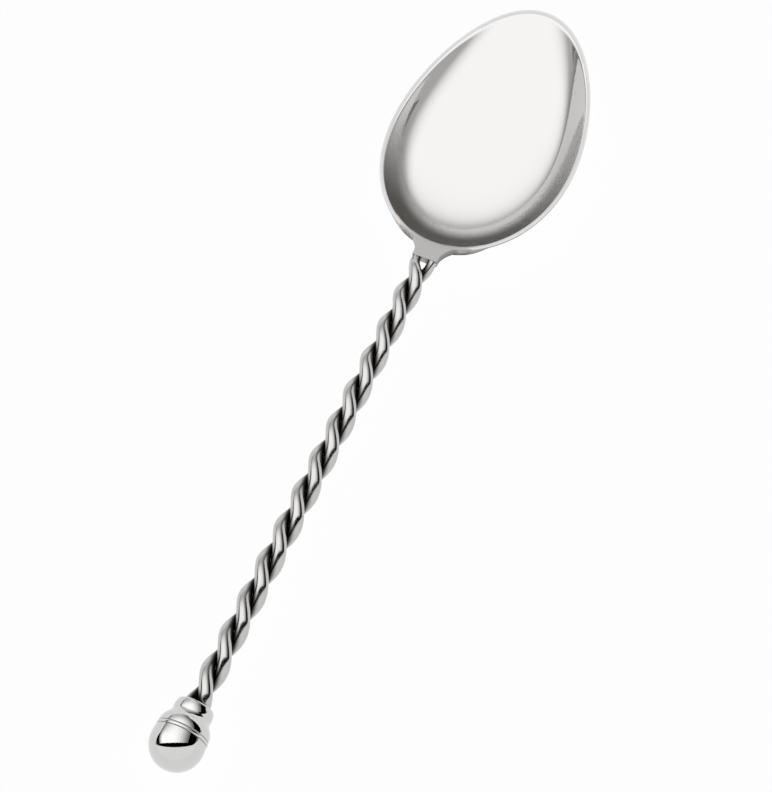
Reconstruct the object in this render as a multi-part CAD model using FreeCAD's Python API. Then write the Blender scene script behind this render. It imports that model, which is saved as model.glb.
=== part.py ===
import FreeCAD, Part
import math
import os
from FreeCAD import Vector

# Bar spoon with a rope handle.  Millimetres, +X towards the tip of the bowl, +Z up.
# It lies hollow side up and rests on the ball and on the bottom of the bowl.

# ---- overall ----
LENGTH = 220.4            # ball end to bowl tip
TIP_X = LENGTH / 2        # foremost point of the bowl
HANDLE_RISE = 1.4         # degrees the handle climbs towards the bowl

# ---- ball knob ----
BALL_R = 6.4
FLANK_AT = 1.95           # the flank of the ball runs nearly straight to here
FLANK_R = 6.28
BALL_CUT = 2.1            # flat of the ball, from its centre along the handle
TENON_R = 2.2
TENON_LEN = 3.3

# ---- ferrule, stations measured from the ball centre along the handle ----
JOINT_R = 6.13            # the ball and the ferrule meet in a fine groove
RING_R = 6.31             # foot ring
RING_AT = 2.52
RING_EDGE = 0.3           # half the width of its crown
RING_EDGE_R = 6.25
GROOVE_AT = 2.95          # fine groove above the foot ring
GROOVE_R = 6.08
BEAD_FOOT = (3.08, 6.2)   # station and radius of the points below
BEAD = (4.5, 5.95)
BEAD_TOP = (5.7, 5.28)
COVE = (6.38, 4.86)
COLLAR_FOOT = (7.15, 4.62)
COLLAR = (8.1, 4.69)
COLLAR_TOP = (9.15, 4.5)
LIP_ROUND = (9.6, 4.32)
LIP = (9.85, 3.98)
MOUTH_EDGE = 0.15         # break at the mouth of the socket
SOCKET_R = 3.55
SOCKET_FLOOR = 5.6
TENON_PLAY = 0.05
BRAZE_TOP = 8.7

# ---- rope handle: two wires, left-hand lay ----
WIRE_R = 1.8              # wire radius
WIRE_OFF = 1.38           # wire centre from the rope axis
HALF_LEAD = 9.66          # rope length for half a turn
CROSS_AT = 130.0          # last crossing before the neck
CROSS_ANGLE = 105.6       # turn of wire a at that crossing, 0 = +Y side
SPLAY_AT = 131.2          # the wires start to part here
JOINT_AT = 136.0          # wire ends butt on the neck here
END_SLOPE = 8.0           # degrees per mm of twist left at the joint
END_OFF = 1.95            # wire section at the joint, ground down to meet the neck
END_RY = 1.22
END_RZ = 1.2
END_FLAT = 1.0
TOUCH_GAP = 0.03          # half the clearance between the wires
WIRE_ROWS = 220           # sections along a wire
WIRE_POINTS = 16          # points round each section
SEW_TOL = 1e-4
FIX_TOL = 1e-3

# ---- bowl ----
RIM_X = 36.4              # rim at the neck
RIM_Z = 10.67
RIM_RISE = 0.0577         # average climb of the rim towards the tip
RIM_SAG = 0.00134         # how hollow the rim line is seen from the side
HALF_W = 23.97            # half width before the egg correction
EGG_1 = -0.112
EGG_2 = -0.013
EGG_3 = 0.033
DEPTH = 10.6              # rim line to the underside at the bottom
FORM = 3.8                # 2 is a parabola, higher is a flatter bottom with steeper sides
SHEET = 1.2               # metal thickness
EDGE = 0.988              # below 1 leaves an upright edge round the rim
RIM_ROUND = 0.2           # outer rim edge
RIM_SOFT = 0.5            # inner rim edge
EDGE_TOL = 0.02           # how near an edge lies to the rim line to count as on it
SKIN_ROWS = 32            # points along and across each face of the sheet
SKIN_POINTS = 24
NECK_HALF_W = 3.2
NECK_T = 2.4              # neck thickness
NECK_WAIST_X = 33.6       # the flanks start to spread here
NECK_MID_X = 36.4
NECK_MID_W = 4.6
NECK_ROOT_X = 39.1        # and run into the rim here
NECK_ROOT_W = 9.2
NECK_END_X = 44.0         # far side of the neck blank, inside the bowl wall
NECK_END_W = 6.0
NECK_ROUND = 0.8          # lower edges of the neck
NECK_LAP = 1.0            # extra length, cut square to the handle

SIN = math.sin(math.radians(HANDLE_RISE))
COS = math.cos(math.radians(HANDLE_RISE))
BALL_X = -TIP_X + BALL_R
AXIS = Vector(COS, 0, SIN)
BALL_C = Vector(BALL_X, 0, BALL_R)


def on_axis(s, side=0.0, up=0.0):
    """Point at station s along the handle, moved sideways (+Y) and up from its axis."""
    return Vector(BALL_X + s * COS - up * SIN, side, BALL_R + s * SIN + up * COS)


def smooth_min(a, b, k):
    """The smaller of a and b, blended over a band k."""
    h = max(k - abs(a - b), 0.0) / k
    return min(a, b) - h * h * k / 4


def ease(t):
    t = min(max(t, 0.0), 1.0)
    return t * t * (3 - 2 * t)


# ---------------------------------------------------------------- rope wires
def lay_angle(s):
    """Turn of wire a about the handle axis at station s, in degrees."""
    rate = 180.0 / HALF_LEAD
    if s <= SPLAY_AT:
        return CROSS_ANGLE + rate * (CROSS_AT - s)
    span = JOINT_AT - SPLAY_AT
    t = (s - SPLAY_AT) / span
    start = CROSS_ANGLE + rate * (CROSS_AT - SPLAY_AT)
    h00 = 2 * t ** 3 - 3 * t ** 2 + 1
    h10 = t ** 3 - 2 * t ** 2 + t
    h11 = t ** 3 - t ** 2
    return h00 * start - h10 * rate * span - h11 * END_SLOPE * span


def wire_point(s, q, phase):
    """Point of the round side of a wire, q from -1 to 1 across it."""
    w = ease((s - SPLAY_AT) / (JOINT_AT - SPLAY_AT))
    off = WIRE_OFF + w * (END_OFF - WIRE_OFF)
    ry = WIRE_R + w * (END_RY - WIRE_R)
    rz = WIRE_R + w * (END_RZ - WIRE_R)
    flat = TOUCH_GAP + w * (END_FLAT - TOUCH_GAP)
    a = q * math.acos((flat - off) / ry)
    out = off + ry * math.cos(a)
    across = rz * math.sin(a)
    turn = math.radians(lay_angle(s) + phase)
    side = out * math.cos(turn) - across * math.sin(turn)
    up = out * math.sin(turn) + across * math.cos(turn)
    return on_axis(s, side, up)


def wire(phase):
    """One wire: round outside, flat where it is pressed against its neighbour."""
    rows = []
    for i in range(WIRE_ROWS + 1):
        s = SOCKET_FLOOR + (JOINT_AT - SOCKET_FLOOR) * i / WIRE_ROWS
        spread = [2.0 * j / WIRE_POINTS - 1 for j in range(WIRE_POINTS + 1)]
        rows.append([wire_point(s, q, phase) for q in spread])
    skin = Part.BSplineSurface()
    skin.interpolate(rows)
    outside = skin.toShape()
    u0, u1, v0, v1 = skin.bounds()
    edge_lo = skin.vIso(v0).toShape()
    edge_hi = skin.vIso(v1).toShape()
    inside = Part.makeRuledSurface(edge_lo, edge_hi, 1)
    faces = [outside, inside]
    for u in (u0, u1):
        arc = skin.uIso(u)
        chord = Part.makeLine(arc.value(v1), arc.value(v0))
        faces.append(Part.Face(Part.Wire([arc.toShape(), chord])))
    skin_set = Part.Compound(faces)
    skin_set.sewShape(SEW_TOL)
    solid = Part.Solid(skin_set.Shells[0])
    solid.fix(SEW_TOL, SEW_TOL, FIX_TOL)
    if solid.Volume < 0:
        solid.reverse()
    return solid


# ---------------------------------------------------------------- turned parts
def turned(profile):
    """Solid of revolution about the handle axis from a closed profile of edges."""
    face = Part.Face(Part.Wire(profile))
    return face.revolve(BALL_C, AXIS, 360)


def station(s, r):
    return on_axis(s, 0.0, r)


def line(p, q):
    return Part.makeLine(station(*p), station(*q))


def arc(p, m, q):
    return Part.Arc(station(*p), station(*m), station(*q)).toShape()


def ball_knob():
    """Ball with a flat for the ferrule and a tenon that goes up inside it."""
    mid = BALL_R / math.sqrt(2)
    half = FLANK_AT / 2
    bulge = BALL_R - (BALL_R - FLANK_R) / 4
    end = BALL_CUT + TENON_LEN
    outline = [
        arc((-BALL_R, 0), (-mid, mid), (0, BALL_R)),
        arc((0, BALL_R), (half, bulge), (FLANK_AT, FLANK_R)),
        line((FLANK_AT, FLANK_R), (BALL_CUT, JOINT_R)),
        line((BALL_CUT, JOINT_R), (BALL_CUT, TENON_R)),
        line((BALL_CUT, TENON_R), (end, TENON_R)),
        line((end, TENON_R), (end, 0)),
        line((end, 0), (-BALL_R, 0)),
    ]
    return turned(outline)


def ferrule():
    """Foot ring, bead, cove and collar, bored from both ends."""
    bore = TENON_R + TENON_PLAY
    ring_low = (RING_AT - RING_EDGE, RING_EDGE_R)
    ring_high = (RING_AT + RING_EDGE, RING_EDGE_R)
    groove = (GROOVE_AT, GROOVE_R)
    mouth = (LIP[0], SOCKET_R + MOUTH_EDGE)
    wall = (LIP[0] - MOUTH_EDGE, SOCKET_R)
    outline = [
        line((BALL_CUT, bore), (BALL_CUT, JOINT_R)),
        line((BALL_CUT, JOINT_R), ring_low),
        arc(ring_low, (RING_AT, RING_R), ring_high),
        line(ring_high, groove),
        line(groove, BEAD_FOOT),
        arc(BEAD_FOOT, BEAD, BEAD_TOP),
        arc(BEAD_TOP, COVE, COLLAR_FOOT),
        arc(COLLAR_FOOT, COLLAR, COLLAR_TOP),
        arc(COLLAR_TOP, LIP_ROUND, LIP),
        line(LIP, mouth),
        line(mouth, wall),
        line(wall, (SOCKET_FLOOR, SOCKET_R)),
        line((SOCKET_FLOOR, SOCKET_R), (SOCKET_FLOOR, bore)),
        line((SOCKET_FLOOR, bore), (BALL_CUT, bore)),
    ]
    return turned(outline)


def socket_braze(wires):
    """Filler metal between the wire ends and the socket wall."""
    base = on_axis(SOCKET_FLOOR)
    plug = Part.makeCylinder(SOCKET_R, BRAZE_TOP - SOCKET_FLOOR, base, AXIS)
    return plug.cut(wires).Solids[0]


# ---------------------------------------------------------------- bowl
RIM_MID = (RIM_X + TIP_X) / 2
HALF_L = (TIP_X - RIM_X) / 2
TALL = 60.0               # height of the solids that the bowl is cut from
OVER = 4.0                # how far those solids reach past the rim


def rim_line(x):
    """Height of the rim, hollow in side view."""
    bend = (x - RIM_MID) ** 2 - HALF_L ** 2
    return RIM_Z + RIM_RISE * (x - RIM_X) + RIM_SAG * bend


def egg_width(t):
    return HALF_W * (1 + EGG_1 * t + EGG_2 * (t * t - 0.3) + EGG_3 * t * (t * t - 0.5))


def egg(x, y):
    """0 at the middle of the bowl, 1 on the rim."""
    t = (x - RIM_MID) / HALF_L
    return math.hypot(t, y / egg_width(t))


def wall_outside(x, y):
    return rim_line(x) - DEPTH * (1 - (EDGE * egg(x, y)) ** FORM)


def wall_inside(x, y):
    """The outside wall raised by one sheet thickness, measured square to the metal."""
    d = 0.01
    gx = (wall_outside(x + d, y) - wall_outside(x - d, y)) / (2 * d)
    gy = (wall_outside(x, y + d) - wall_outside(x, y - d)) / (2 * d)
    return wall_outside(x, y) + SHEET * math.sqrt(1 + gx * gx + gy * gy)


def sheet_face(height):
    """Smooth face through height(x, y) over the whole bowl."""
    x0 = RIM_X - OVER
    x1 = TIP_X + OVER
    w = HALF_W + OVER
    rows = []
    for i in range(SKIN_ROWS + 1):
        x = x0 + (x1 - x0) * i / SKIN_ROWS
        row = []
        for j in range(SKIN_POINTS + 1):
            y = -w + 2 * w * j / SKIN_POINTS
            row.append(Vector(x, y, height(x, y)))
        rows.append(row)
    skin = Part.BSplineSurface()
    skin.interpolate(rows)
    return skin.toShape()


def below_rim():
    """Everything under the rim line, neck included."""
    points = []
    spans = 12
    for i in range(spans + 1):
        x = JOINT_X - OVER + (TIP_X + 2 * OVER - JOINT_X) * i / spans
        points.append(Vector(x, 0, rim_line(x)))
    curve = Part.BSplineCurve()
    curve.interpolate(points)
    first, last = points[0], points[-1]
    drop = Vector(0, 0, -TALL)
    edges = [curve.toShape(), Part.makeLine(last, last + drop)]
    edges.append(Part.makeLine(last + drop, first + drop))
    edges.append(Part.makeLine(first + drop, first))
    w = HALF_W + 2 * OVER
    face = Part.Face(Part.Wire(edges))
    face.translate(Vector(0, -w, 0))
    return face.extrude(Vector(0, 2 * w, 0))


JOINT_X = on_axis(JOINT_AT).x


def neck():
    """Flat neck with hollow flanks that spread into the rim."""
    x0 = JOINT_X - NECK_LAP
    low = RIM_Z - NECK_T
    root = (NECK_ROOT_X, NECK_ROOT_W)
    waist = (NECK_WAIST_X, NECK_HALF_W)
    mid = (NECK_MID_X, NECK_MID_W)

    def p(x, y):
        return Vector(x, y, low)

    edges = [
        Part.makeLine(p(x0, -NECK_HALF_W), p(waist[0], -waist[1])),
        Part.Arc(p(waist[0], -waist[1]), p(mid[0], -mid[1]), p(root[0], -root[1])).toShape(),
        Part.makeLine(p(root[0], -root[1]), p(NECK_END_X, -NECK_END_W)),
        Part.makeLine(p(NECK_END_X, -NECK_END_W), p(NECK_END_X, NECK_END_W)),
        Part.makeLine(p(NECK_END_X, NECK_END_W), p(root[0], root[1])),
        Part.Arc(p(root[0], root[1]), p(mid[0], mid[1]), p(waist[0], waist[1])).toShape(),
        Part.makeLine(p(waist[0], waist[1]), p(x0, NECK_HALF_W)),
        Part.makeLine(p(x0, NECK_HALF_W), p(x0, -NECK_HALF_W)),
    ]
    return Part.Face(Part.Wire(edges)).extrude(Vector(0, 0, TALL / 2))


def blank():
    """Upright block with the outline of the rim seen from above."""
    points = []
    turns = 60
    for i in range(turns):
        a = 2 * math.pi * i / turns
        t = math.cos(a)
        points.append(Vector(RIM_MID + HALF_L * t, math.sin(a) * egg_width(t), -OVER))
    curve = Part.BSplineCurve()
    curve.interpolate(points, True)
    return Part.Face(Part.Wire([curve.toShape()])).extrude(Vector(0, 0, TALL))


def middle(e):
    return e.valueAt((e.FirstParameter + e.LastParameter) / 2)


def is_top_edge(e):
    """Outer top edge of the rim and the flanks of the neck."""
    m = middle(e)
    on_top = abs(m.z - rim_line(m.x)) < EDGE_TOL
    return on_top and not e.isClosed() and abs(m.y) > NECK_HALF_W / 2


def is_low_edge(e):
    """Lower edge of the neck, along its flanks."""
    m = middle(e)
    return abs(m.z - (RIM_Z - NECK_T)) < EDGE_TOL and abs(m.y) > NECK_HALF_W / 2


def bowl():
    """Pressed bowl and neck in one sheet, rim edges softened."""
    outer = sheet_face(wall_outside).extrude(Vector(0, 0, TALL)).common(blank())
    hollow = sheet_face(wall_inside).extrude(Vector(0, 0, TALL))
    body = outer.fuse(neck()).common(below_rim()).cut(hollow)
    size = 4 * OVER
    end = Part.makeBox(size, 4 * size, 4 * size, Vector(-size, -2 * size, -2 * size))
    end.rotate(Vector(0, 0, 0), Vector(0, 1, 0), -HANDLE_RISE)
    end.translate(on_axis(JOINT_AT))
    body = body.cut(end).Solids[0]
    loop = [e for e in body.Edges if e.isClosed() and e.Length > 2 * HALF_L]
    body = body.makeFillet(RIM_SOFT, loop)
    body = body.makeFillet(RIM_ROUND, [e for e in body.Edges if is_top_edge(e)])
    return body.makeFillet(NECK_ROUND, [e for e in body.Edges if is_low_edge(e)]).Solids[0]


strand_a = wire(0.0)
strand_b = wire(180.0)
ball = ball_knob()
collar = ferrule()
braze = socket_braze([strand_a, strand_b])
spoon_bowl = bowl()

nodes = {
    "bowl": spoon_bowl,
    "strand_a": strand_a,
    "strand_b": strand_b,
    "ferrule": collar,
    "ball_knob": ball,
    "socket_braze": braze,
}
os.makedirs("parts", exist_ok=True)
for name, shape in nodes.items():
    box = shape.optimalBoundingBox()
    print(name, len(shape.Solids), shape.isValid(), round(shape.Volume, 1))
    print("  x %.2f %.2f  y %.2f %.2f  z %.3f %.2f" % (
        box.XMin, box.XMax, box.YMin, box.YMax, box.ZMin, box.ZMax))
    shape.exportStep("parts/" + name + ".step")
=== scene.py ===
# %% [markdown]
# # Bar spoon with a rope handle
# The spoon is a pressed bowl, two twisted wires, a turned collar and a ball, all polished stainless steel.
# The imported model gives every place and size. Each visible part is modelled again here with an even,
# dense mesh, because a mirror finish shows every uneven facet. The filler metal inside the collar is the
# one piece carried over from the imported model, since only a glint of it can be seen.

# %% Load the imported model
import bpy
import bmesh
import math
from mathutils import Matrix, Vector


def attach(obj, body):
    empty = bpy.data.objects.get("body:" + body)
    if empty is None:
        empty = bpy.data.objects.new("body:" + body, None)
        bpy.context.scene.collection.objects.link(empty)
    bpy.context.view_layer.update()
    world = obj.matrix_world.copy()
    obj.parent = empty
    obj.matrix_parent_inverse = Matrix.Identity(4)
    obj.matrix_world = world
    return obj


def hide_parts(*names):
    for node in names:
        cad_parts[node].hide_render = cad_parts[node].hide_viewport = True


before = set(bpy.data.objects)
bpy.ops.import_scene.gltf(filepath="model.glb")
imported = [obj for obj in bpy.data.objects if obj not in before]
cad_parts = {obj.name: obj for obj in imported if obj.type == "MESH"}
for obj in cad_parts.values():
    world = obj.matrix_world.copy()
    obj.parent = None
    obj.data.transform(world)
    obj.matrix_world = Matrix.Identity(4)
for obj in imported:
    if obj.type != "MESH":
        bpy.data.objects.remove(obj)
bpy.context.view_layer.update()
MM = 0.001
print("pieces in the model:", sorted(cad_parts))


# %% [markdown]
# ## Small helpers
# Blender's modelling tools act on what is selected, so each step starts from an empty selection and
# names the piece it makes. Keeping these two chores in functions makes the steps below shorter.

# %% Helpers
def deselect():
    if bpy.context.object and bpy.context.object.mode != "OBJECT":
        bpy.ops.object.mode_set(mode="OBJECT")
    bpy.ops.object.select_all(action="DESELECT")


def make_active(piece):
    deselect()
    piece.select_set(True)
    bpy.context.view_layer.objects.active = piece


def name_it(name):
    piece = bpy.context.object
    piece.name = name
    piece.data.name = name
    return piece


def ease(t):
    """0 to 1 with a soft start and a soft end."""
    t = min(max(t, 0.0), 1.0)
    return t * t * (3 - 2 * t)


def between(low, high, x):
    return ease((x - low) / (high - low))


def circle_through(a, b, c):
    """Centre and radius of the circle through three points."""
    d = 2 * (a[0] * (b[1] - c[1]) + b[0] * (c[1] - a[1]) + c[0] * (a[1] - b[1]))
    sa, sb, sc = (p[0] ** 2 + p[1] ** 2 for p in (a, b, c))
    ux = (sa * (b[1] - c[1]) + sb * (c[1] - a[1]) + sc * (a[1] - b[1])) / d
    uy = (sa * (c[0] - b[0]) + sb * (a[0] - c[0]) + sc * (b[0] - a[0])) / d
    return ux, uy, math.hypot(a[0] - ux, a[1] - uy)


print("helpers ready")

# %% [markdown]
# ## Sizes
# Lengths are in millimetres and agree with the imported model. The tip, the rim and the depth are a few
# hundredths short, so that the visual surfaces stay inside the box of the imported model, whose rim edge
# is rounded.

# %% Sizes of the spoon
HALF_LENGTH = 110.2
CLEAR = 0.01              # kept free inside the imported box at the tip
TIP_X = HALF_LENGTH - CLEAR
RIM_X = 36.4              # the bowl's end towards the handle
RIM_Z = 10.63
RIM_RISE = 0.0577
RIM_SAG = 0.00134
HALF_W = 23.97
EGG = (-0.112, -0.013, 0.033)
DEPTH = 10.557
FORM = 3.8                # a higher number gives a flatter bottom and steeper sides
SHEET = 1.2
EDGE = 0.988              # the wall stops just short of the rim line
NECK_T = 2.4
MID_X = (RIM_X + TIP_X) / 2
HALF_L = (TIP_X - RIM_X) / 2
RISE_DEG = 1.4            # slope of the handle
BALL_R = 6.4
BALL_X = BALL_R - HALF_LENGTH


def smooth_min(a, b, k):
    h = max(k - abs(a - b), 0.0) / k
    return min(a, b) - h * h * k / 4


def rim_line(x):
    return RIM_Z + RIM_RISE * (x - RIM_X) + RIM_SAG * ((x - MID_X) ** 2 - HALF_L ** 2)


def egg_width(t):
    return HALF_W * (1 + EGG[0] * t + EGG[1] * (t * t - 0.3) + EGG[2] * t * (t * t - 0.5))


def egg(x, y):
    """0 in the middle of the bowl, 1 on its outline."""
    t = (x - MID_X) / HALF_L
    return math.hypot(t, y / egg_width(t))


def wall_outside(x, y):
    return rim_line(x) - DEPTH * (1 - (EDGE * egg(x, y)) ** FORM)


def wall_inside(x, y):
    """The inner skin is one sheet thickness away, measured square to the wall."""
    d = 0.01
    gx = (wall_outside(x + d, y) - wall_outside(x - d, y)) / (2 * d)
    gy = (wall_outside(x, y + d) - wall_outside(x, y - d)) / (2 * d)
    return wall_outside(x, y) + SHEET * math.sqrt(1 + gx * gx + gy * gy)


print("bowl", round(2 * HALF_L, 1), "mm long, wall at the bottom", round(wall_outside(MID_X, 0), 2), "mm up")

# %% [markdown]
# ## The bowl, flat
# The maker blanks an egg-shaped piece from sheet, with a short tongue where the handle joins, and presses
# it. The same order works here. A circle is drawn out to the egg outline, extruded inwards ring by ring and
# closed at the centre. The rings stand closest at the rim, where the wall turns most sharply.

# %% Bowl layout
SEGMENTS = 192
RIM_INSETS = [0.2 * i for i in range(1, 16)] + [3.0 + 0.5 * i for i in range(1, 9)]
FLOOR_RINGS = 20


def shrink(inset):
    """Share of the half length and half width left inside an even inset."""
    return (HALF_L - inset) / HALF_L, (HALF_W - inset) / HALF_W


def ring_inwards(along, across):
    bpy.ops.mesh.extrude_region_move()
    bpy.ops.transform.resize(value=(along, across, 1), center_override=(0, 0, 0))


deselect()
bpy.ops.mesh.primitive_circle_add(vertices=SEGMENTS, radius=1, location=(0, 0, 0))
layout = name_it("bowl_layout")
for v in layout.data.vertices:
    t = v.co.x
    v.co = (HALF_L * t, v.co.y * egg_width(t), 0)
bpy.ops.object.mode_set(mode="EDIT")
bpy.ops.mesh.select_mode(type="VERT")
bpy.ops.mesh.select_all(action="SELECT")
last = shrink(0)
for inset in RIM_INSETS:
    now = shrink(inset)
    ring_inwards(now[0] / last[0], now[1] / last[1])
    last = now
for left in range(FLOOR_RINGS, 1, -1):
    ring_inwards((left - 1) / left, (left - 1) / left)
bpy.ops.mesh.merge(type="CENTER")
print("layout:", len(layout.data.vertices), "points before the neck")

# %% [markdown]
# ## The neck, flat
# The tongue narrows in one hollow sweep from the outline of the bowl to the place where the wires join.
# Its rows are extruded from the outline, and each row is placed on that sweep.

# %% Neck rows
NECK_ARC = ((39.1, 9.2), (36.4, 4.6), (33.6, 3.2))
NECK_SWEEP = circle_through(*NECK_ARC)
NECK_END = 32.2
# station on the middle line and station at the edge of each row
NECK_ROWS = ((36.0, 38.1), (35.5, 37.2), (35.0, 36.4), (34.5, 35.6), (34.0, 34.9), (33.4, 34.1), (32.8, 33.2),
             (NECK_END, NECK_END))


def flank(x):
    """Half width of the neck at a station."""
    if x <= NECK_ARC[2][0]:
        return NECK_ARC[2][1]
    ux, uy, r = NECK_SWEEP
    return uy - math.sqrt(max(r * r - (x - ux) ** 2, 0))


bm = bmesh.from_edit_mesh(layout.data)
wide = NECK_ARC[0][1]
for v in bm.verts:
    v.co.x += MID_X
    on_rim = abs(egg(v.co.x, v.co.y) - 1) < 1e-4
    v.select = on_rim and v.co.x < MID_X and abs(v.co.y) < wide
bm.select_flush_mode()
bmesh.update_edit_mesh(layout.data)
for middle, side in NECK_ROWS:
    bpy.ops.mesh.extrude_region_move()
    narrow = flank(side)
    bm = bmesh.from_edit_mesh(layout.data)
    for v in [v for v in bm.verts if v.select]:
        share = v.co.y / wide
        v.co.y = share * narrow
        v.co.x = middle + (side - middle) * share * share
    bmesh.update_edit_mesh(layout.data)
    wide = narrow
bpy.ops.mesh.select_all(action="SELECT")
bpy.ops.mesh.remove_doubles(threshold=0.0001)
bpy.ops.object.mode_set(mode="OBJECT")
print("layout:", len(layout.data.vertices), "points with the neck")


# %% [markdown]
# ## Pressing the bowl
# A press gives the sheet two skins. The layout is copied, each copy is raised to its own height, and the
# outlines are bridged into one closed body. The inner skin runs over into the flat rim and the neck plate
# through a small blend, as a polished edge does. Under the neck the metal is thicker.

# %% Bowl skins
RIM_SOFT = 0.35
NECK_SOFT = 1.3
NECK_SOFT_FROM, NECK_SOFT_RUN = 44, 6
UNDER_SOFT = 2.5
NECK_BELLY = 0.03         # how fast the thick neck runs out under the bowl


def topside(x, y):
    near_neck = min(max((NECK_SOFT_FROM - x) / NECK_SOFT_RUN, 0), 1)
    return smooth_min(wall_inside(x, y), rim_line(x), RIM_SOFT + (NECK_SOFT - RIM_SOFT) * near_neck)


def underside(x, y):
    neck = rim_line(x) - NECK_T + NECK_BELLY * max(0.0, x - RIM_X) ** 3
    return smooth_min(wall_outside(x, y), neck, UNDER_SOFT)


def skin(height, name):
    piece = layout.copy()
    piece.data = layout.data.copy()
    piece.name = name
    bpy.context.collection.objects.link(piece)
    for v in piece.data.vertices:
        v.co.z = height(v.co.x, v.co.y)
    return piece


bowl = skin(topside, "bowl")
under = skin(underside, "bowl_under")
make_active(bowl)
under.select_set(True)
bpy.ops.object.join()
bpy.ops.object.mode_set(mode="EDIT")
bpy.ops.mesh.select_mode(type="EDGE")
bpy.ops.mesh.select_all(action="DESELECT")
bpy.ops.mesh.select_non_manifold(extend=False, use_wire=False, use_boundary=True, use_multi_face=False,
                                 use_non_contiguous=False, use_verts=False)
bpy.ops.mesh.bridge_edge_loops()
bpy.ops.mesh.select_all(action="SELECT")
bpy.ops.mesh.normals_make_consistent(inside=False)
bpy.ops.object.mode_set(mode="OBJECT")
bowl.data.transform(Matrix.Scale(MM, 4))
bpy.data.objects.remove(layout)
print("bowl:", len(bowl.data.polygons), "faces")

# %% [markdown]
# ## The rim
# The pressed edge is ground and polished until nothing catches the lip. A narrow bevel of three segments
# breaks the corners of the sheet. The limit angle keeps it off the smooth walls.

# %% Rim bevel
rim = bowl.modifiers.new("rim", "BEVEL")
rim.limit_method = "ANGLE"
rim.angle_limit = math.radians(50)
rim.width = 0.22 * MM
rim.segments = 3
make_active(bowl)
bpy.ops.object.modifier_apply(modifier="rim")
bpy.ops.object.shade_smooth_by_angle(angle=math.radians(40))
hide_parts("bowl")
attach(bowl, "root")
print("bowl with its rim:", len(bowl.data.polygons), "faces")

# %% [markdown]
# ## The wires
# The handle is two wires laid side by side and twisted together, left-handed. Pressed against each other
# they keep a small flat. A circle with one flat is therefore the section, and a Screw modifier winds it
# along the rope. Both wires are made level, with the ball's centre at the origin, and only then laid on
# their slope.

# %% Wire lay
WIRE_R = 1.8
WIRE_OFF = 1.38           # from the rope's axis to the middle of a wire
FLAT = 0.03               # from the rope's axis to the flat
HALF_LEAD = 9.66          # half a turn of the rope
CROSS_AT = 130.0          # station where the turn of the lay is known
CROSS_ANGLE = 105.6
SPLAY_AT = 131.2          # the wires start to part
JOINT_AT = 136.0          # and run straight from here
JOINT_RATE = 8.0          # degrees per millimetre still to go there
WIRE_START = 5.8
ARC_POINTS = 28
FLAT_POINTS = 12
LAY_STEPS = 300


def to_spoon(piece):
    turn = Matrix.Rotation(math.radians(-RISE_DEG), 4, "Y")
    move = Matrix.Translation(Vector((BALL_X, 0, BALL_R)) * MM)
    piece.data.transform(move @ turn @ Matrix.Scale(MM, 4))


def lay_angle(s):
    """Turn of the first wire about the rope's axis, in degrees, at station s."""
    rate = 180.0 / HALF_LEAD
    if s <= SPLAY_AT:
        return CROSS_ANGLE + rate * (CROSS_AT - s)
    if s >= JOINT_AT:
        return 0.0
    span = JOINT_AT - SPLAY_AT
    t = (s - SPLAY_AT) / span
    start = CROSS_ANGLE + rate * (CROSS_AT - SPLAY_AT)
    keep = 2 * t ** 3 - 3 * t ** 2 + 1
    leave = t ** 3 - 2 * t ** 2 + t
    arrive = t ** 3 - t ** 2
    return keep * start - leave * rate * span - arrive * JOINT_RATE * span


def wire(name, phase):
    deselect()
    bpy.ops.mesh.primitive_circle_add(vertices=ARC_POINTS + FLAT_POINTS, radius=WIRE_R)
    piece = name_it(name)
    turn = math.radians(lay_angle(WIRE_START) + phase)
    half_arc = math.acos((FLAT - WIRE_OFF) / WIRE_R)
    for i, v in enumerate(piece.data.vertices):
        if i <= ARC_POINTS:
            a = half_arc * (2 * i / ARC_POINTS - 1)
            out, across = WIRE_OFF + WIRE_R * math.cos(a), WIRE_R * math.sin(a)
        else:
            share = (i - ARC_POINTS) / FLAT_POINTS
            out, across = FLAT, WIRE_R * math.sin(half_arc) * (1 - 2 * share)
        v.co = (WIRE_START, out * math.cos(turn) - across * math.sin(turn),
                out * math.sin(turn) + across * math.cos(turn))
    lay = piece.modifiers.new("lay", "SCREW")
    lay.axis = "X"
    lay.steps = lay.render_steps = LAY_STEPS
    lay.screw_offset = SPLAY_AT - WIRE_START
    lay.angle = -math.radians(180.0 * (SPLAY_AT - WIRE_START) / HALF_LEAD)
    lay.use_merge_vertices = False
    bpy.ops.object.modifier_apply(modifier="lay")
    print(name, "lay:", len(piece.data.vertices), "points")
    return piece


wires = [wire("strand_a", 0.0), wire("strand_b", 180.0)]

# %% [markdown]
# ## The wire ends
# Towards the bowl the wires come out of the lay, part, and butt on the two sides of the neck, where they
# are welded and polished flush. The last ring of each wire is extruded in short steps; each step turns it
# a little less and makes it a little thinner, and inside the neck it tapers away below the surface. The
# ring at the collar end is simply closed.

# %% Wire ends
RUN_IN = 137.0            # the ends run this far, inside the neck
END_STEPS = 24
END_THIN = (0.32, 0.333)  # how much thinner a wire is at the joint, outwards and across
END_TUCK = 0.4            # and how much more across inside the neck
OUTER = WIRE_OFF + WIRE_R


def turn_about_rope(v, degrees):
    a = math.radians(degrees)
    y, z = v.co.y, v.co.z
    v.co.y = y * math.cos(a) - z * math.sin(a)
    v.co.z = y * math.sin(a) + z * math.cos(a)


def pick_ring(piece, wanted):
    bm = bmesh.from_edit_mesh(piece.data)
    for v in bm.verts:
        v.select = wanted(v.co.x)
    bm.select_flush_mode()
    bmesh.update_edit_mesh(piece.data)


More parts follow.
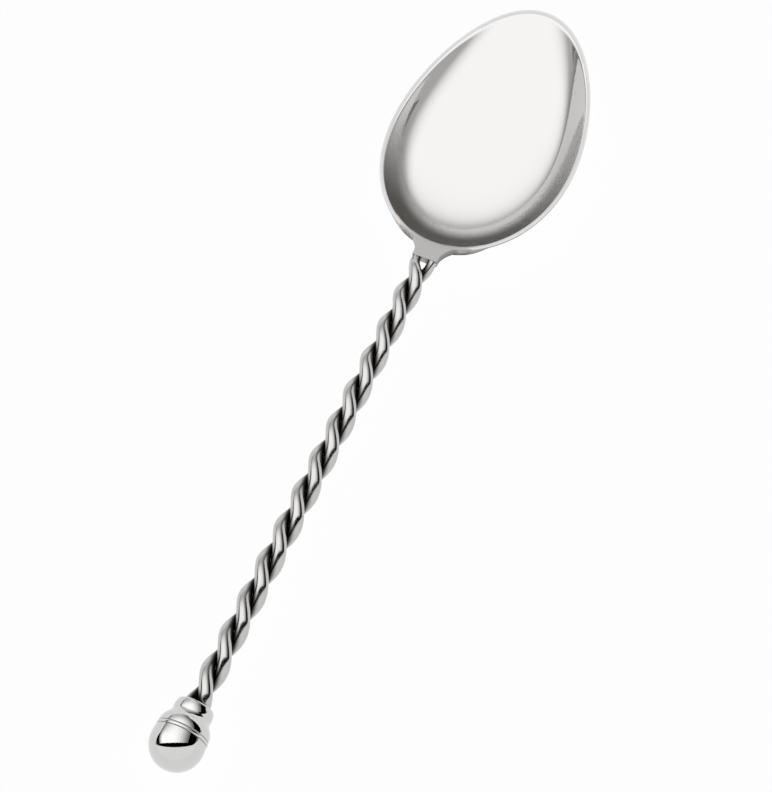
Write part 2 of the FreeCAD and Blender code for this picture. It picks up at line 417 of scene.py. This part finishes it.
def wire_end(piece, phase):
    make_active(piece)
    bpy.ops.object.mode_set(mode="EDIT")
    bpy.ops.mesh.select_mode(type="VERT")
    pick_ring(piece, lambda x: x > SPLAY_AT - 0.001)
    s0, k0, a0 = SPLAY_AT, (1.0, 1.0), lay_angle(SPLAY_AT) + phase
    for i in range(1, END_STEPS + 1):
        s1 = SPLAY_AT + (RUN_IN - SPLAY_AT) * i / END_STEPS
        part = between(SPLAY_AT, JOINT_AT, s1)
        deep = max(0.0, (s1 - JOINT_AT) / (RUN_IN - JOINT_AT))
        k1 = (1 - part * END_THIN[0], 1 - part * END_THIN[1] - deep * END_TUCK)
        a1 = lay_angle(s1) + phase
        bpy.ops.mesh.extrude_region_move()
        bm = bmesh.from_edit_mesh(piece.data)
        for v in [v for v in bm.verts if v.select]:
            turn_about_rope(v, -a0)
            v.co.y = OUTER + (v.co.y - OUTER) * k1[0] / k0[0]
            v.co.z *= k1[1] / k0[1]
            v.co.x += s1 - s0
            turn_about_rope(v, a1)
        bmesh.update_edit_mesh(piece.data)
        s0, k0, a0 = s1, k1, a1
    # close both ends
    bpy.ops.mesh.edge_face_add()
    pick_ring(piece, lambda x: abs(x - WIRE_START) < 0.001)
    bpy.ops.mesh.edge_face_add()
    bpy.ops.mesh.select_all(action="SELECT")
    bpy.ops.mesh.remove_doubles(threshold=0.0005)
    bpy.ops.mesh.normals_make_consistent(inside=False)
    bpy.ops.object.mode_set(mode="OBJECT")
    bpy.ops.object.shade_smooth_by_angle(angle=math.radians(50))
    to_spoon(piece)


for name, piece, phase in zip(("strand_a", "strand_b"), wires, (0.0, 180.0)):
    wire_end(piece, phase)
    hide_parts(name)
    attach(piece, "root")
    print(name, len(piece.data.polygons), "faces")

# %% [markdown]
# ## The ball and the collar
# Both are turned on a lathe from bar. A lathe part is one outline swept round an axis, so the outline is
# drawn point by point with vertex extrusions and swept with Spin. Arcs are given by three points that can
# be read on the part: its start, a point on the way, and its end.


# %% Lathe helpers
def arc3(p, m, q, n):
    """n points on the arc from p through m to q, without p."""
    ux, uy, r = circle_through(p, m, q)
    start = math.atan2(p[1] - uy, p[0] - ux)
    way = (math.atan2(m[1] - uy, m[0] - ux) - start) % (2 * math.pi)
    turn = (math.atan2(q[1] - uy, q[0] - ux) - start) % (2 * math.pi)
    if way > turn:
        turn -= 2 * math.pi
    angles = [start + turn * i / n for i in range(1, n + 1)]
    return [(ux + r * math.cos(a), uy + r * math.sin(a)) for a in angles]


def turned(name, profile, closed):
    """Spin a profile of (station, radius) points about the handle's axis."""
    deselect()
    bpy.ops.mesh.primitive_plane_add(size=0.1, location=(0, 0, 0))
    piece = name_it(name)
    bpy.ops.object.mode_set(mode="EDIT")
    bpy.ops.mesh.select_mode(type="VERT")
    bpy.ops.mesh.select_all(action="SELECT")
    bpy.ops.mesh.merge(type="CENTER")
    bpy.ops.transform.translate(value=(profile[0][0], 0, profile[0][1]))
    for here, there in zip(profile, profile[1:]):
        move = (there[0] - here[0], 0, there[1] - here[1])
        bpy.ops.mesh.extrude_vertices_move(TRANSFORM_OT_translate={"value": move})
    bpy.ops.mesh.select_all(action="SELECT")
    if closed:
        bpy.ops.mesh.remove_doubles(threshold=0.0005)
    bpy.ops.mesh.select_all(action="SELECT")
    bpy.ops.mesh.spin(steps=128, angle=2 * math.pi, center=(0, 0, 0), axis=(1, 0, 0))
    bpy.ops.mesh.select_all(action="SELECT")
    bpy.ops.mesh.remove_doubles(threshold=0.0005)
    bpy.ops.mesh.normals_make_consistent(inside=False)
    bpy.ops.object.mode_set(mode="OBJECT")
    bpy.ops.object.shade_smooth_by_angle(angle=math.radians(35))
    to_spoon(piece)
    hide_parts(name)
    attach(piece, "root")
    print(name, len(piece.data.polygons), "faces")
    return piece


# %% Ball
BALL_CUT = 2.1
JOINT_R = 6.13
TENON_R = 2.2
TENON_END = 5.4
R = BALL_R - 0.004        # a hair small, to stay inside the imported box
ball_profile = [(-R, 0.0)]
ball_profile += arc3((-R, 0.0), (-R / math.sqrt(2), R / math.sqrt(2)), (0, R), 48)
ball_profile += arc3((0, R), (0.975, 6.37), (1.95, 6.28), 10)
ball_profile += [(BALL_CUT, JOINT_R), (BALL_CUT, TENON_R), (TENON_END, TENON_R), (TENON_END, 0.0)]
ball = turned("ball_knob", ball_profile, False)

# %% Collar
BORE_R = 2.25
SOCKET_R = 3.55
SOCKET_FLOOR = 5.6
GROOVE_AT = 2.95
RING_END, BEAD_FOOT, BEAD_TOP = (2.82, 6.25), (3.08, 6.2), (5.7, 5.28)
COLLAR_FOOT, COLLAR_TOP, LIP = (7.15, 4.62), (9.15, 4.5), (9.85, 3.98)
collar_profile = [(BALL_CUT, BORE_R), (BALL_CUT, JOINT_R), (2.22, 6.25)]
collar_profile += arc3((2.22, 6.25), (2.52, 6.31), RING_END, 6)
collar_profile += [(GROOVE_AT, 6.08), BEAD_FOOT]
collar_profile += arc3(BEAD_FOOT, (4.5, 5.95), BEAD_TOP, 20)
collar_profile += arc3(BEAD_TOP, (6.38, 4.86), COLLAR_FOOT, 12)
collar_profile += arc3(COLLAR_FOOT, (8.1, 4.69), COLLAR_TOP, 12)
collar_profile += arc3(COLLAR_TOP, (9.6, 4.32), LIP, 8)
collar_profile += [(9.85, 3.7), (9.7, SOCKET_R), (SOCKET_FLOOR, SOCKET_R), (SOCKET_FLOOR, BORE_R)]
collar_profile += [(BALL_CUT, BORE_R)]
ferrule = turned("ferrule", collar_profile, True)


# %% [markdown]
# ## Painted shade in the steel
# Shade and dark reflections that the light panels alone don't give are painted into the steel: the painted
# shade darkens its colour and dulls it a little. It lies between the wires, inside the mouth of the collar
# and in the two fine turned lines. It is stored on the points of each mesh as a number from 0 (bright) to 1
# (full painted shade), because it follows the shape and not the surroundings. On the bowl it is an
# assumption. In the wall by the neck it is a painted dark reflection that the panels alone didn't give, and
# on the rim, the rim's outer edge and the neck it is painted shade that gives a grey tone.

# %% Painted shade on the bowl and the handle
def mark(piece, shade):
    """Store shade(x, y, z), taken in millimetres, on every point."""
    # the stored number is painted shade: 0 is bright steel, 1 is full painted shade
    layer = piece.data.attributes.new("painted_shade", "FLOAT", "POINT")
    for v, d in zip(piece.data.vertices, layer.data):
        d.value = min(max(shade(v.co.x / MM, v.co.y / MM, v.co.z / MM), 0.0), 1.0)


# painted shade on the neck plate, the rim and the underside; painted dark reflection on the rim's outer edge,
# darker on the right
NECK_PAINTED_SHADE, RIM_PAINTED_SHADE, UNDER_PAINTED_SHADE = 0.55, 0.2, 0.3
EDGE_PAINTED_REFLECTION_RIGHT, EDGE_PAINTED_REFLECTION_LEFT = 0.9, 0.45
# the painted dark reflection on the wall goes on over these shares of the egg, and runs out over these
# stations
WALL_PAINTED_REFLECTION = (0.70, 0.87)
WALL_END_RIGHT, WALL_END_LEFT = (44, 90), (44, 76)
# painted shade in the grooves between the wires, reaching further out in the mouth of the collar
GROOVE_R, GROOVE_FADE = 2.55, 1.05
MOUTH_REACH, MOUTH_EXTRA = (10.5, 13.5), 0.6
# painted shade in the joint and the fine groove of the turned parts
LINE_PAINTED_SHADE, LINE_HALF_W = 0.8, 0.03


# painted shade and painted dark reflections on the bowl, from 0 to 1
def bowl_painted_shade(x, y, z):
    e = egg(x, y)
    under_rim = rim_line(x) - z
    if x < NECK_ARC[0][0] - 0.1 and under_rim < 0.6 and e > 0.985:
        return NECK_PAINTED_SHADE
    if e > 0.995 and under_rim > 0.1:
        return EDGE_PAINTED_REFLECTION_RIGHT if y < 0 else EDGE_PAINTED_REFLECTION_LEFT
    if e > 0.985 and under_rim < 0.3:
        return RIM_PAINTED_SHADE
    if z < wall_inside(x, y) - 0.3:
        return UNDER_PAINTED_SHADE
    end = WALL_END_RIGHT if y < 0 else WALL_END_LEFT
    return between(*WALL_PAINTED_REFLECTION, e) * (1 - between(*end, x))


def along_handle(x, y, z):
    """Station and distance from the axis of the handle."""
    a = math.radians(RISE_DEG)
    dx, dz = x - BALL_X, z - BALL_R
    return dx * math.cos(a) + dz * math.sin(a), math.hypot(y, dz * math.cos(a) - dx * math.sin(a))


# painted shade near the rope's axis, between the wires, wider in the mouth of the collar
def wire_painted_shade(x, y, z):
    s, r = along_handle(x, y, z)
    wide = GROOVE_R + MOUTH_EXTRA * (1 - between(*MOUTH_REACH, s))
    return 1 - between(wide - GROOVE_FADE, wide, r)


# painted shade in the two fine turned lines
def turned_painted_shade(x, y, z):
    s, r = along_handle(x, y, z)
    in_line = min(abs(s - BALL_CUT), abs(s - GROOVE_AT)) < LINE_HALF_W
    return LINE_PAINTED_SHADE if in_line else 0.0


mark(bowl, bowl_painted_shade)
for piece in wires:
    mark(piece, wire_painted_shade)
for piece in (ball, ferrule):
    mark(piece, turned_painted_shade)
print("film stored on the bowl, the wires, the ball and the collar")


# %% [markdown]
# ## Polished steel
# Steel that has been polished and used is never one flat colour. The roughness drifts in soft patches of
# about 6 mm, where hands and the wheel pressed more or less. Hairline scratches run the way the part was
# polished: along the bowl, round the ball. The painted shade darkens the steel's colour and dulls it a
# little.

# %% Material helpers
def linear(hex_colour):
    out = []
    for i in (0, 2, 4):
        c = int(hex_colour[i:i + 2], 16) / 255
        out.append(c / 12.92 if c <= 0.04045 else ((c + 0.055) / 1.055) ** 2.4)
    return (*out, 1.0)


def add(tree, kind, links=None, **settings):
    """Add a node; in_Some_Name sets an input's value, in_1 an input by number; links joins inputs."""
    node = tree.nodes.new(kind)
    for key, value in settings.items():
        if not key.startswith("in_"):
            setattr(node, key, value)
        elif key[3:].isdigit():
            node.inputs[int(key[3:])].default_value = value
        else:
            node.inputs[key[3:].replace("_", " ")].default_value = value
    for socket, source in (links or {}).items():
        tree.links.new(source, node.inputs[socket])
    return node


def steel(name, clean, painted_shade, rough, painted_shade_rough, streak):
    m = bpy.data.materials.new(name)
    m.use_nodes = True
    t = m.node_tree
    bsdf = t.nodes["Principled BSDF"]
    bsdf.inputs["Metallic"].default_value = 1.0
    here = add(t, "ShaderNodeTexCoord").outputs["Object"]
    # soft patches of about 6 mm
    patch = add(t, "ShaderNodeTexNoise", {"Vector": here}, in_Scale=160.0, in_Detail=3.0).outputs["Fac"]
    polish = add(t, "ShaderNodeMapRange", {"Value": patch}, in_From_Min=0.3, in_From_Max=0.7,
                 in_To_Min=rough[0], in_To_Max=rough[1]).outputs[0]
    # hairline scratches, drawn out along the direction of polishing
    drawn = add(t, "ShaderNodeMapping", {"Vector": here}, in_Scale=streak).outputs[0]
    hair = add(t, "ShaderNodeTexNoise", {"Vector": drawn}, in_Scale=1.0, in_Detail=2.0).outputs["Fac"]
    scratch = add(t, "ShaderNodeMapRange", {"Value": hair}, in_From_Min=0.3, in_From_Max=0.7,
                  in_To_Min=0.8, in_To_Max=1.2).outputs[0]
    worn = add(t, "ShaderNodeMath", {0: polish, 1: scratch}, operation="MULTIPLY").outputs[0]
    # the stored painted shade darkens the steel's colour towards its painted shade colour and dulls it a
    # little
    stored = add(t, "ShaderNodeAttribute", attribute_name="painted_shade").outputs["Fac"]
    dull = add(t, "ShaderNodeMath", {0: stored, 2: worn}, operation="MULTIPLY_ADD", in_1=painted_shade_rough)
    t.links.new(dull.outputs[0], bsdf.inputs["Roughness"])
    tone = add(t, "ShaderNodeMix", {"Factor": stored}, data_type="RGBA",
               in_6=linear(clean), in_7=linear(painted_shade))
    t.links.new(tone.outputs[2], bsdf.inputs["Base Color"])
    relief = add(t, "ShaderNodeBump", {"Height": hair}, in_Strength=0.01, in_Distance=0.00001)
    t.links.new(relief.outputs[0], bsdf.inputs["Normal"])
    return m


def dress(piece, material):
    piece.data.materials.clear()
    piece.data.materials.append(material)


# %% Materials on the pieces
# Each steel gets its clean colour, the colour of its painted shade, its roughness from best to worst
# polish, what full painted shade adds to the roughness, and pattern sizes per metre along X, Y and Z: 7000
# is one in 0.14 mm. Real hairlines are finer, and are drawn this coarse so that they show.
# pressed and mirror polished inside: bright. The satin of its painted shade is chosen for a calm picture,
# because the wall of a real mirror shows reflections of reflections, which come out as grain here
bowl_steel = steel("pressed_steel_polished", "CDCCCB", "585552", (0.04, 0.07), 0.45, (600, 5000, 5000))
# drawn wire, buffed after twisting: a little softer, with nearly black painted shade in the grooves
wire_steel = steel("drawn_wire_polished", "C0BFBD", "15140F", (0.11, 0.17), 0.05, (1200, 1200, 1200))
# turned and mirror polished on the lathe: the sharpest reflections, with hairlines round the axis and dark
# painted shade in the two fine lines
turned_steel = steel("turned_steel_mirror", "CFCFCE", "3A3936", (0.03, 0.06), 0.10, (7000, 900, 900))
# silver filler left as it flowed: duller and slightly yellow
braze_metal = steel("silver_filler_as_flowed", "A8A59E", "6E6B64", (0.2, 0.4), 0.1, (1500, 1500, 1500))
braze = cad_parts["socket_braze"]
dress(bowl, bowl_steel)
for piece in wires:
    dress(piece, wire_steel)
dress(ball, turned_steel)
dress(ferrule, turned_steel)
dress(braze, braze_metal)
print("materials:", [m.name for m in bpy.data.materials])

# %% [markdown]
# ## Camera
# The spoon is seen from above and in front at about 60 degrees, with the bowl at the top right. The camera
# looks at a point near the middle of the handle and is rolled by a few degrees. The lens is long, so the
# shape is hardly drawn out. The studio directions used for the lights are taken from the camera.

# %% Camera
AZ, EL, ROLL = (math.radians(a) for a in (-63.021, 60.543, -3.162))
TARGET = Vector((-4.348, -6.08, 5.917)) * MM
FAR = 604.5 * MM
LENS = 115.1
back = Vector((math.sin(AZ) * math.cos(EL), -math.cos(AZ) * math.cos(EL), math.sin(EL)))
level = Vector((math.cos(AZ), math.sin(AZ), 0))
upright = back.cross(level)
right = level * math.cos(ROLL) + upright * math.sin(ROLL)
up = upright * math.cos(ROLL) - level * math.sin(ROLL)
camera = bpy.data.objects.new("camera", bpy.data.cameras.new("camera"))
bpy.context.collection.objects.link(camera)
turned_to = Matrix((right, up, back)).transposed().to_4x4()
camera.matrix_world = Matrix.Translation(TARGET + back * FAR) @ turned_to
camera.data.lens = LENS
camera.data.sensor_width = 36
camera.data.clip_start = 0.01
bpy.context.scene.camera = camera
SIDE = Vector((right.x, right.y, 0)).normalized()
AWAY = Vector((-SIDE.y, SIDE.x, 0))
print("camera at", [round(v, 3) for v in camera.location])


# %% [markdown]
# ## Floor
# The floor is a plain white table that glows a little by itself, so the ground is even and the steel gets
# clean light from below. It lies a hair under the spoon.

# %% Floor
def card(name, side, away, height, material, seen=False):
    """Level card: side and away are (low, high) in metres from the spoon, height above the floor."""
    deselect()
    bpy.ops.mesh.primitive_plane_add(size=1)
    piece = name_it(name)
    corners = [(side[0], away[0]), (side[1], away[0]), (side[0], away[1]), (side[1], away[1])]
    for v, (a, b) in zip(piece.data.vertices, corners):
        v.co = SIDE * a + AWAY * b + Vector((0, 0, height))
    dress(piece, material)
    piece.visible_camera = seen
    return piece


floor_paint = bpy.data.materials.new("floor_paint")
floor_paint.use_nodes = True
paint = floor_paint.node_tree.nodes["Principled BSDF"]
paint.inputs["Base Color"].default_value = (0.05, 0.05, 0.05, 1)
paint.inputs["Roughness"].default_value = 1.0
paint.inputs["Specular IOR Level"].default_value = 0.0
paint.inputs["Emission Color"].default_value = (1, 1, 1, 1)
paint.inputs["Emission Strength"].default_value = 0.98
FLOOR_REACH = (-100, 100)
FLOOR_GAP = 0.00005
card("floor", FLOOR_REACH, FLOOR_REACH, -FLOOR_GAP, floor_paint, True)
print("floor laid", FLOOR_GAP, "m under the spoon")

# %% [markdown]
# ## Light
# Polished steel shows its surroundings more than itself. The studio is a white tent, one metre high, with
# gaps: the gaps draw the black lines on the ball and the wires. The bowl shows a soft white ceiling without
# these lines, so it is lit by its own set of panels through light linking. A closed panel of the bowl looks
# black to the handle; an open panel is clear to it. The light fades to both sides and to the back.

# %% Light panels
ROOF = 1.0
DIM = 0.25                # light of the room outside the tent
bowl_only = bpy.data.collections.new("bowl_only")
bowl_only.objects.link(bowl)
handle_only = bpy.data.collections.new("handle_only")
for piece in (*wires, ball, ferrule, braze):
    handle_only.objects.link(piece)


def glow(name, middle, side_reach, side_light, away_reach, away_light, clear=True, less=0.0):
    """Panel light that fades to both sides of its middle and to the back."""
    m = bpy.data.materials.new(name)
    m.use_nodes = True
    t = m.node_tree
    t.nodes.clear()
    here = add(t, "ShaderNodeTexCoord").outputs["Object"]
    across = add(t, "ShaderNodeVectorMath", {0: here}, operation="DOT_PRODUCT", in_1=SIDE)
    along = add(t, "ShaderNodeVectorMath", {0: here}, operation="DOT_PRODUCT", in_1=AWAY)
    off = add(t, "ShaderNodeMath", {0: across.outputs["Value"]}, operation="SUBTRACT", in_1=middle)
    size = add(t, "ShaderNodeMath", {0: off.outputs[0]}, operation="ABSOLUTE")
    fades = []
    for place, reach, light in ((size.outputs[0], side_reach, side_light),
                                (along.outputs["Value"], away_reach, away_light)):
        fade = add(t, "ShaderNodeMapRange", {"Value": place}, interpolation_type="SMOOTHSTEP",
                   in_From_Min=reach[0], in_From_Max=reach[1], in_To_Min=light[0], in_To_Max=light[1])
        fades.append(fade.outputs[0])
    both = add(t, "ShaderNodeMath", dict(enumerate(fades)), operation="MULTIPLY")
    total = add(t, "ShaderNodeMath", {0: both.outputs[0]}, operation="SUBTRACT", in_1=less)
    lamp = add(t, "ShaderNodeEmission", {"Strength": total.outputs[0]})
    if clear:
        see = add(t, "ShaderNodeBsdfTransparent")
        lamp = add(t, "ShaderNodeAddShader", {0: see.outputs[0], 1: lamp.outputs[0]})
    add(t, "ShaderNodeOutputMaterial", {0: lamp.outputs[0]})
    return m


def panel(name, side, away, height, material, lights):
    card(name, side, away, height, material).light_linking.receiver_collection = lights


# middle, reach and light to the sides, reach and light to the back
BOWL_LIGHT = (0.0, (1.2, 4.5), (1.0, 0.4), (0.6, 4.0), (1.5, 0.75))
ROOF_LIGHT = (-0.75, (0.5, 1.85), (1.0, 0.15), (0.1, 1.6), (1.6, 0.72))
ROOM_LIGHT = (0, (0, 1), (1, 1), (0, 1), (0.78, 0.78))
bowl_open = glow("bowl_open_light", *BOWL_LIGHT, less=DIM)
bowl_shut = glow("bowl_shut_light", *BOWL_LIGHT, clear=False)
room_light = glow("room_light", *ROOM_LIGHT)
roof_light = glow("roof_light", *ROOF_LIGHT)
# where the tent's roof ends, in metres: left, right, and the front gap from its start to its end
LEFT, RIGHT, GAP_START, GAP_END = -2.7, 1.15, -0.78, -0.384
BACK, RIGHT_BACK, LEFT_BACK = 4, 1.8, 1.7
WING, HORIZON = 7, 400
ABOVE = ROOF + 0.01
panel("bowl_roof", (LEFT, RIGHT), (GAP_START, BACK), ABOVE, bowl_shut, bowl_only)
panel("bowl_right", (RIGHT, WING), (GAP_START, RIGHT_BACK), ABOVE, bowl_shut, bowl_only)
panel("bowl_left", (-WING, LEFT), (GAP_START, LEFT_BACK), ABOVE, bowl_shut, bowl_only)
panel("handle_roof", (LEFT, RIGHT), (GAP_END, BACK), ROOF, roof_light, handle_only)
OPEN_PLACES = (("front", (-HORIZON, HORIZON), (-HORIZON, GAP_START)), ("far", (LEFT, RIGHT), (BACK, HORIZON)),
               ("far_right", (RIGHT, HORIZON), (RIGHT_BACK, HORIZON)),
               ("far_left", (-HORIZON, LEFT), (LEFT_BACK, HORIZON)))
for place, side, away in OPEN_PLACES:
    panel("bowl_" + place, side, away, ABOVE, bowl_open, bowl_only)
    panel("handle_" + place, side, away, ROOF, room_light, handle_only)

world = bpy.data.worlds.new("studio")
world.use_nodes = True
room = world.node_tree.nodes["Background"]
room.inputs["Color"].default_value = (1, 1, 1, 1)
room.inputs["Strength"].default_value = DIM
bpy.context.scene.world = world
bpy.context.scene.view_settings.view_transform = "Standard"
print("light panels:", 4 + 2 * len(OPEN_PLACES))
